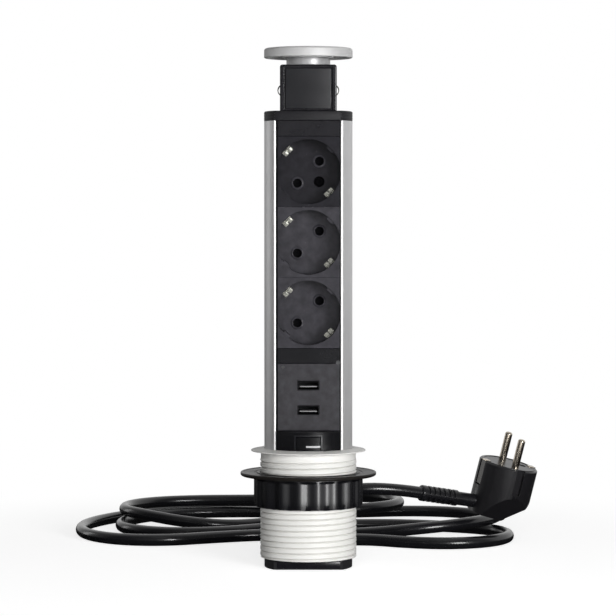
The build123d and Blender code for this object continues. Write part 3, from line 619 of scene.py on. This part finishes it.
def makeClips(v, sockets):
    r = v["reach"]
    spine = [(r, v["strapY"]), (r, v["rootY"]), (r - v["crownIn"], v["crownY"])]
    spine += [(r + out, v["tipY"] + back) for out, back in v["curl"]]
    line = rounded([(a, b, v["bend"]) for a, b in spine], 7, closed=False)
    strap = [(share * r, v["strapY"]) for share in (0, 0.5, 1)]
    for name, height in zip(("lower", "middle", "upper"), sockets["heights"]):
        grids = []
        for side in (1, -1):

            # (radial, depth, across) to the tower: the radial line falls to the right at 45 degrees
            def place(p, side=side, height=height):
                out, y, w = p[..., 0] * side, p[..., 1], p[..., 2]
                return np.stack([(out + w) * math.sqrt(0.5), y, (w - out) * math.sqrt(0.5) + height], -1)

            for shift in (-1, 1):
                grids.append(bentStrip(line, v["thick"], v["finger"], place, shift * (v["finger"] + v["gap"]) / 2))
            grids.append(bentStrip(strap, v["thick"], v["strap"], place))
        addPiece(name + "EarthClip", meshOf(grids, capped=True), "tower", "earth_steel", ["earth_clip_" + name])


makeClips(clipSet, socketSet)
pinSpots = [(side * socketSet["pinOff"], height + side * socketSet["pinOff"])
            for height in socketSet["heights"] for side in (1, -1)]


# Turns a profile of (radius, height) about a line to the front through (x, z), with its foot at depth y
def turnedAboutY(profile, x, y, z, segments):
    ring = revolve(profile, segments)
    return np.stack([ring[..., 0] + x, y - ring[..., 2], ring[..., 1] + z], -1)


# Raised collars round the pin holes: profile of (radius, height over the recess floor)
collarSet = {"out": 4.1, "top": 0.5, "lip": 0.5, "slope": 0.45, "sunk": 0.1}


def makeCollars(v, sockets):
    hole = sockets["pinHole"]
    profile = rounded([(hole, -v["sunk"], 0), (hole, v["top"], 0.25), (hole + v["lip"], v["top"], 0.2),
                       (v["out"] - 0.2, v["top"] * v["slope"], 0.2), (v["out"], -v["sunk"], 0)], 5)
    grids = [turnedAboutY(profile, x, sockets["floor"], z, 48) for x, z in pinSpots]
    addPiece("pinCollars", meshOf(grids, wrapRows=True), "tower", "insert_plastic", finish="socket_plastic")


makeCollars(collarSet, socketSet)

# Near-black cups, painted shade, that line a hole from its mouth down to its floor: first what lies on the floor, then
# the wall
screwWellSet = {"r": 3.24, "wall": 0.1, "soft": 0.1, "mouth": 0.75, "floor": 2.1, "x": 6.6, "drop": -5.8,
                "base": [(0, 0.3, 0), (0.7, 0.3, 0.1), (0.9, 0.5, 0.1), (2.2, 0.5, 0.2), (2.4, 0.1, 0.1)]}
pinWellSet = {"r": 2.68, "wall": 0.12, "soft": 0.2, "mouth": 0.72, "floor": 1.9, "base": [(0, 0.1, 0)]}


def makeWells(name, v, spots, segments):
    r, deep = v["r"], v["floor"] - v["mouth"]
    profile = rounded([*v["base"], (r - v["wall"], 0.1, v["soft"]), (r - v["wall"], deep, 0.03), (r, deep, 0.03),
                       (r, 0, 0.1), (0, 0, 0)], 3, closed=False)
    grids = [turnedAboutY(profile, x, v["floor"], z, segments) for x, z in spots]
    addPiece(name, meshOf(grids), "tower", "insert_plastic", finish="painted_shade_black")


# the upper socket's screw hole, with the screw's head sunk in it, and the pin holes
makeWells("screwWell", screwWellSet, [(screwWellSet["x"], socketSet["heights"][2] + screwWellSet["drop"])], 40)
makeWells("pinWells", pinWellSet, pinSpots, 32)

# Beads down the profile's front edges: half rounds on the two lips, painted near-white as a highlight
lipSet = {"x": 20.24, "front": -16.9, "half": 0.66, "proud": 0.55, "root": 0.2, "low": 9.0, "high": 271.8}


def makeLips(v):
    turn = np.linspace(0, np.pi, 11)
    rows = np.array([v["low"], v["low"] + 0.2, v["high"] - 0.2, v["high"]])
    grids = []
    for side in (1, -1):
        x, back = side * v["x"], v["front"] + v["root"]
        bead = np.stack([x + v["half"] * np.cos(turn), v["front"] - 0.02 - v["proud"] * np.sin(turn)], 1)
        outline = np.concatenate([bead, [[x - v["half"], back], [x + v["half"], back]]])
        grids.append(np.concatenate([np.broadcast_to(outline, (len(rows),) + outline.shape),
                                     np.broadcast_to(rows[:, None, None], (len(rows), len(outline), 1))], -1))
    addPiece("profileBeads", meshOf(grids, capped=True), "tower", "profile_aluminium", finish="lip_highlight_aluminium")


makeLips(lipSet)


# A box between two corners, its edges rounded
def roundedBox(low, high, width):
    mesh = bpy.data.meshes.new("box")
    work = bmesh.new()
    size, mid = [(b - a) * mm for a, b in zip(low, high)], [(a + b) / 2 * mm for a, b in zip(low, high)]
    bmesh.ops.create_cube(work, size=1.0, matrix=Matrix.LocRotScale(Vector(mid), None, Vector(size)))
    bmesh.ops.bevel(work, geom=work.edges, offset=width * mm, segments=2, affect="EDGES", profile=0.5)
    return written(work, mesh, boxAngle)


def joined(parts):
    work = bmesh.new()
    for part in parts:
        work.from_mesh(part)
        bpy.data.meshes.remove(part)
    return written(work, bpy.data.meshes.new("joined"), boxAngle)


# USB tongues: thin blades in the lower half of the ports
tongueSet = {"heights": (112.0, 97.0), "drop": 0.75, "half": 5.2, "thick": 0.6, "front": -15.6, "back": -3.4,
             "edge": 0.12}


def makeTongues(v):
    t = v["thick"] / 2
    blades = [roundedBox((-v["half"], v["front"], z - t), (v["half"], v["back"], z + t), v["edge"])
              for z in (height - v["drop"] for height in v["heights"])]
    addPiece("usbTongues", joined(blades), "tower", "inner_plastic", ["usb_tongues"])


makeTongues(tongueSet)

# Near-black strips between the inserts and the lips: painted shade in the gaps there
gapShadeSet = {"left": 18.45, "right": 18.95, "out": 19.55, "front": -17.0, "back": -16.2, "low": 66.8, "high": 271.6,
            "edge": 0.05}


def makeGapShade(v):
    strips = [roundedBox((x0, v["front"], v["low"]), (x1, v["back"], v["high"]), v["edge"])
              for x0, x1 in ((v["right"], v["out"]), (-v["out"], -v["left"]))]
    addPiece("insertGapShade", joined(strips), "tower", "insert_plastic", finish="painted_shade_black")


makeGapShade(gapShadeSet)

# Latch trim: a raised frame over the button on the round front, and a pale ledge at the button's foot, its colour a
# painted highlight
frameSet = {"r": 26.98, "half": 8.5, "border": 0.85, "low": 72.9, "high": 82.6, "thick": 0.5, "soft": 0.12,
            "ledge": (-1.4, 7.2, 75.0, 76.2), "ledgeOut": 0.1}


def makeLatchFrame(v):
    # a bar on the round front: x runs along the arc, its face at radius r
    def arcBar(x0, x1, z0, z1, out=0.0):
        face = v["r"] + out
        corners = [(face, z0), (face, z1), (face - v["thick"], z1), (face - v["thick"], z0)]
        return swept(rounded([(r, z, v["soft"]) for r, z in corners], 3), np.arcsin(np.linspace(x0, x1, 14) / v["r"]))

    h, b, low, high = v["half"], v["border"], v["low"], v["high"]
    grids = [arcBar(-h, h, high - b, high), arcBar(-h, -h + b, low, high - b), arcBar(h - b, h, low, high - b)]
    addPiece("latchFrame", meshOf(grids, capped=True), "tower", "gloss_plastic", finish="frame_plastic")
    ledge = arcBar(*v["ledge"], out=v["ledgeOut"])
    addPiece("buttonLedgeHighlight", meshOf([ledge], capped=True), "release_button", "gloss_plastic", finish="ledge_highlight_plastic")


makeLatchFrame(frameSet)

# Button spring: a tube of radius wire round a helix of radius r
springSet = {"turns": 6.0, "r": 1.8, "wire": 0.36, "steps": 24, "round": 10, "flatEnd": 0.06, "ease": 0.25,
             "keep": 0.67}


def makeSpring(v):
    low, high = (np.array(c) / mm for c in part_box("button_spring"))
    x, z = (low[0] + high[0]) / 2, (low[2] + high[2]) / 2
    share = np.linspace(0, 1, int(v["turns"] * v["steps"]) + 1)[:, None]
    turn = share * v["turns"] * 2 * np.pi
    # the end coils lie flat, the middle ones climb
    middle = np.clip((share - v["flatEnd"]) / (1 - 2 * v["flatEnd"]), 0, 1)
    climb = v["ease"] * smoothStep(middle) + (1 - v["ease"]) * middle
    y = high[1] - v["wire"] - climb * (high[1] - low[1] - 2 * v["wire"])
    tube = np.linspace(0, 2 * np.pi, v["round"], endpoint=False)[None, :]
    r = v["r"] + v["wire"] * np.cos(tube)
    grid = np.stack([x + r * np.cos(turn), y + v["wire"] * np.sin(tube), z + r * np.sin(turn)], -1)
    spring = addPiece("buttonSpring", meshOf([grid], capped=True), "tower", "spring_steel", ["button_spring"])
    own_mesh(spring)


makeSpring(springSet)

# End cap trim: ribs carried round its two sides, and a proud front part
capTrimSet = {"r": 26.98, "thick": 0.4, "bands": ((273.0, 274.0), (274.8, 275.7), (276.4, 277.2)),
              "from": 47.5, "to": 312.5, "frontLow": (-19.6, -17.75, 272.35), "frontHigh": (20.3, -16.4, 277.5),
              "edge": 0.3}


def makeEndTrim(v):
    r, back = v["r"], v["r"] - v["thick"]
    turn = np.radians(np.linspace(v["from"], v["to"], 90))
    grids = [swept(rounded([(r, z0, 0.12), (r, z1, 0.12), (back, z1, 0.1), (back, z0, 0.1)], 3), turn)
             for z0, z1 in v["bands"]]
    addPiece("endCapBands", meshOf(grids, capped=True), "tower", "insert_plastic", finish="cap_plastic")
    front = roundedBox(v["frontLow"], v["frontHigh"], v["edge"])
    addPiece("endCapFront", front, "tower", "insert_plastic", finish="cap_plastic")


makeEndTrim(capTrimSet)

# Foot: a proud plate over the front of the bottom cap
footSet = {"low": (-19.0, -17.35, 0.9), "high": (19.3, -16.5, 5.3), "width": 0.3}
addPiece("footFront", roundedBox(**footSet), "tower", "insert_plastic")

# Plug face: a raised rim turned about the face's middle, and the earth strips folded over its two edges
plugSet = {"face": (130.9, 108.0, 52.6), "up": (0.23, -0.10, 0.97), "out": (-0.901, -0.400, 0.172), "sunk": 0.1,
           "rimIn": 16.6, "rimOut": 17.6, "rimHigh": 0.35, "foldFrom": 14.6, "foldTo": 18.9, "foldHalf": 2.6,
           "foldHigh": 0.5, "soft": 0.15}


def makePlugFace(v):
    up = Vector(v["up"]).normalized()
    out = Vector(v["out"])
    out = (out - up * out.dot(up)).normalized()
    place = Matrix.Translation(Vector(v["face"]) * mm) @ Matrix((out, up.cross(out), up)).transposed().to_4x4()
    corners = [(v["rimIn"], -v["sunk"], 0), (v["rimIn"], v["rimHigh"], v["soft"]),
               (v["rimOut"], v["rimHigh"], v["soft"]), (v["rimOut"], -v["sunk"], 0)]
    rim = meshOf([revolve(rounded(corners, 4), 96)], wrapRows=True)
    folds = joined([roundedBox((a, -v["foldHalf"], -v["sunk"]), (b, v["foldHalf"], v["foldHigh"]), v["soft"])
                    for a, b in ((v["foldFrom"], v["foldTo"]), (-v["foldTo"], -v["foldFrom"]))])
    rim.transform(place)
    folds.transform(place)
    return [addPiece("plugFaceRim", rim, "tower", "plug_plastic"),
            addPiece("plugStripFolds", folds, "tower", "pin_nickel")]


plugTrim = makePlugFace(plugSet)

# Two small screws at the USB panel's upper corners: a rim round a sunk head, at (x, z, radius)
screwSet = {"at": ((18.0, 125.9, 1.35), (-15.3, 123.2, 1.0)), "front": -16.9, "sunk": 0.2, "rim": 0.35,
            "rimHigh": 0.22, "headHigh": 0.02}


def makeScrews(v):
    grids = []
    for x, z, r in v["at"]:
        head = r - v["rim"]
        profile = rounded([(0, -v["sunk"], 0), (r, -v["sunk"], 0), (r, v["rimHigh"], 0.15), (head, v["rimHigh"], 0.1),
                           (head - 0.15, v["headHigh"], 0.05), (0, v["headHigh"], 0)], 4, closed=False)
        grids.append(turnedAboutY(profile, x, v["front"], z, 32))
    addPiece("panelScrews", meshOf(grids), "tower", "insert_plastic", finish="rim_plastic")


makeScrews(screwSet)
print("clips, collars, beads and trim made")

# Cap and neck: profiles turned round the tower, the cap hollow underneath between its hub and its rim
capSet = {"r": 26.9, "low": 310.3, "high": 316.2, "hollow": 1.2, "hub": 15.55, "rimIn": 24.8, "draft": 0.1,
          "neckR": 13.35, "neckLow": 305.75, "neckHigh": 310.25}


def makeCap(v):
    low, under = v["low"], v["low"] + v["hollow"]
    cap = rounded([(0, low, 0), (v["hub"], low, 0.3), (v["hub"] + v["draft"], under, 0.3),
                   (v["rimIn"] - v["draft"], under, 0.3), (v["rimIn"], low, 0.2), (v["r"], low, 0.6),
                   (v["r"], v["high"], 1.5), (0, v["high"], 0)], 7, closed=False)
    addPiece("capDisc", meshOf([revolve(cap, 192)]), "tower", "cap_silver", ["cap_disc"])
    neck = rounded([(0, v["neckLow"], 0), (v["neckR"], v["neckLow"], 0.3), (v["neckR"], v["neckHigh"], 0.3),
                    (0, v["neckHigh"], 0)], 4, closed=False)
    addPiece("capNeck", meshOf([revolve(neck, 128)]), "tower", "neck_metal", ["cap_neck"])


makeCap(capSet)
print("cap made")

# Carried-over CAD nodes that nothing replaced get their slot's finish
slotOf = {part["node"]: part["material_slot"] for part in frame["record"]["subparts"]}
for nodeName, node in frame["nodes"].items():
    if not node.hide_render:
        node.data.materials.clear()
        node.data.materials.append(finishes[slotOf[nodeName]])

([pieces[name] for name in ("flexBoot", "plugBody", "plugPins", "plugEarthContacts", "plugRelief")]
        + plugTrim)

# Floor and world, in metres: what the camera sees is white, and what gloss mirrors is dimmer to the left and in front.
# Pairs are where an eased step starts and ends
stageSet = {
    "half": 9.0, "floor": 0.86, "fade": (0.17, 0.46), "lift": 0.76, "bounce": 0.06, "ambient": 0.04,
    "backdrop": 0.85, "left": 0.30, "front": 0.22,
    "floorBehind": (-0.05, 2.2), "floorAcross": (-0.5, 0.6), "skyBehind": (-0.25, 0.15), "skyAcross": (-0.8, -0.1),
    "glow": 10.0, "glowAt": 31.0, "glowHalf": 28.0, "haze": 2.8, "hazeHalf": 80.0, "glowFrom": (0.26, 0.36),
    "glowTo": (0.52, 0.66), "table": (0.8, 3.0), "tableNear": 0.05, "tableFront": 1.3,
}


def makeFloor(v):
    h = v["half"]
    mesh = bpy.data.meshes.new("floor")
    mesh.from_pydata([(-h, -h, 0), (h, -h, 0), (h, h, 0), (-h, h, 0)], [], [(0, 1, 2, 3)])
    floor = linked("floor", mesh)
    f = Finish("floorPale")
    x, y = f.axes(f.coords)[:2]
    reach = (x * x + y * y) ** 0.5
    camera = f.add("ShaderNodeLightPath", out="Is Camera Ray")
    glossy = camera.out("Is Glossy Ray")
    shown = camera + camera.out("Is Transmission Ray")
    # in reflections: behind brighter with distance and least on the left; in front a lamp's glow near by, pale far off
    far = f.ramp(y, *v["floorBehind"], 0.0, v["backdrop"])
    side = f.ramp(x, *v["floorAcross"], v["left"], 1.0)
    ahead = y < 0.0
    swing = f.maths("ABSOLUTE", f.maths("ARCTAN2", x, y * -1.0) * (180 / math.pi) - v["glowAt"])
    glow = f.ramp(swing, 0.0, v["glowHalf"], v["glow"], 0.0) + f.ramp(swing, 0.0, v["hazeHalf"], v["haze"], 0.0)
    near = f.ramp(reach, *v["glowFrom"]) * f.ramp(reach, *v["glowTo"], 1.0, 0.0)
    table = f.ramp(reach, *v["table"], v["tableNear"], v["tableFront"])
    mirrored = far * side + ahead * (glow * near + table)
    white = f.add("ShaderNodeEmission", {}, {"Color": (1, 1, 1), "Strength": shown + glossy * mirrored})
    matt = f.add("ShaderNodeBsdfDiffuse", {}, {"Color": (v["floor"],) * 3})
    ownLight = v["lift"] * shown + v["bounce"] * (1 - shown)
    lift = f.add("ShaderNodeEmission", {}, {"Color": (1, 1, 1), "Strength": ownLight})
    # the floor that takes the shadow fades into plain white further out
    pale = f.add("ShaderNodeAddShader", {}, {0: matt, 1: lift})
    f.show(f.add("ShaderNodeMixShader", {}, {0: f.ramp(reach, *v["fade"]) * shown + glossy, 1: pale, 2: white}))
    mesh.materials.append(f.material)


def makeWorld(v):
    world = bpy.data.worlds.new("studio")
    bpy.context.scene.world = world
    world.use_nodes = True
    f = Finish("studio", world.node_tree)
    camera = f.add("ShaderNodeLightPath", out="Is Camera Ray")
    glossy = camera.out("Is Glossy Ray")
    shown = (camera + camera.out("Is Transmission Ray")) > 0.5
    x, y = f.axes(f.coords.out("Generated"))[:2]
    mirrored = f.ramp(y, *v["skyBehind"], v["front"], v["backdrop"]) * f.ramp(x, *v["skyAcross"], v["left"], 1.0)
    strength = shown + (1 - shown) * (glossy * mirrored + (1 - glossy) * v["ambient"])
    f.show(f.add("ShaderNodeBackground", {}, {"Color": (1, 1, 1), "Strength": strength}), "ShaderNodeOutputWorld")


# Lamps: azimuth from the camera's side, elevation, distance, size, power, whether gloss shows it, whether it lights
lamps = {
    "key": (28, 4.5, 2.0, (0.7, 0.5), 28.5, True, True),
    "fill": (-3, 8, 2.0, (0.9, 0.6), 14, False, True),
    "sideLeft": (-125, 8, 1.8, (0.4, 0.9), 2.0, True, False),
    "above": (15, 60, 1.8, (0.9, 0.6), 0.8, True, True),
}
lampAim = (0, 0.05, 0.15)


def makeLamps(v):
    for name, (azimuth, elevation, distance, size, power, inGloss, onMatt) in v.items():
        light = bpy.data.lights.new(name, "AREA")
        light.shape = "RECTANGLE"
        light.size, light.size_y = size
        light.energy = power
        a, e = math.radians(azimuth), math.radians(elevation)
        away = Vector((math.sin(a) * math.cos(e), -math.cos(a) * math.cos(e), math.sin(e)))
        holder = linked(name, light)
        holder.location = Vector(lampAim) + away * distance
        holder.rotation_euler = away.to_track_quat("Z", "Y").to_euler()
        holder.visible_glossy, holder.visible_diffuse = inGloss, onMatt


makeFloor(stageSet)
makeWorld(stageSet)
makeLamps(lamps)
bpy.context.scene.view_settings.view_transform = "Standard"
print("stage lit")
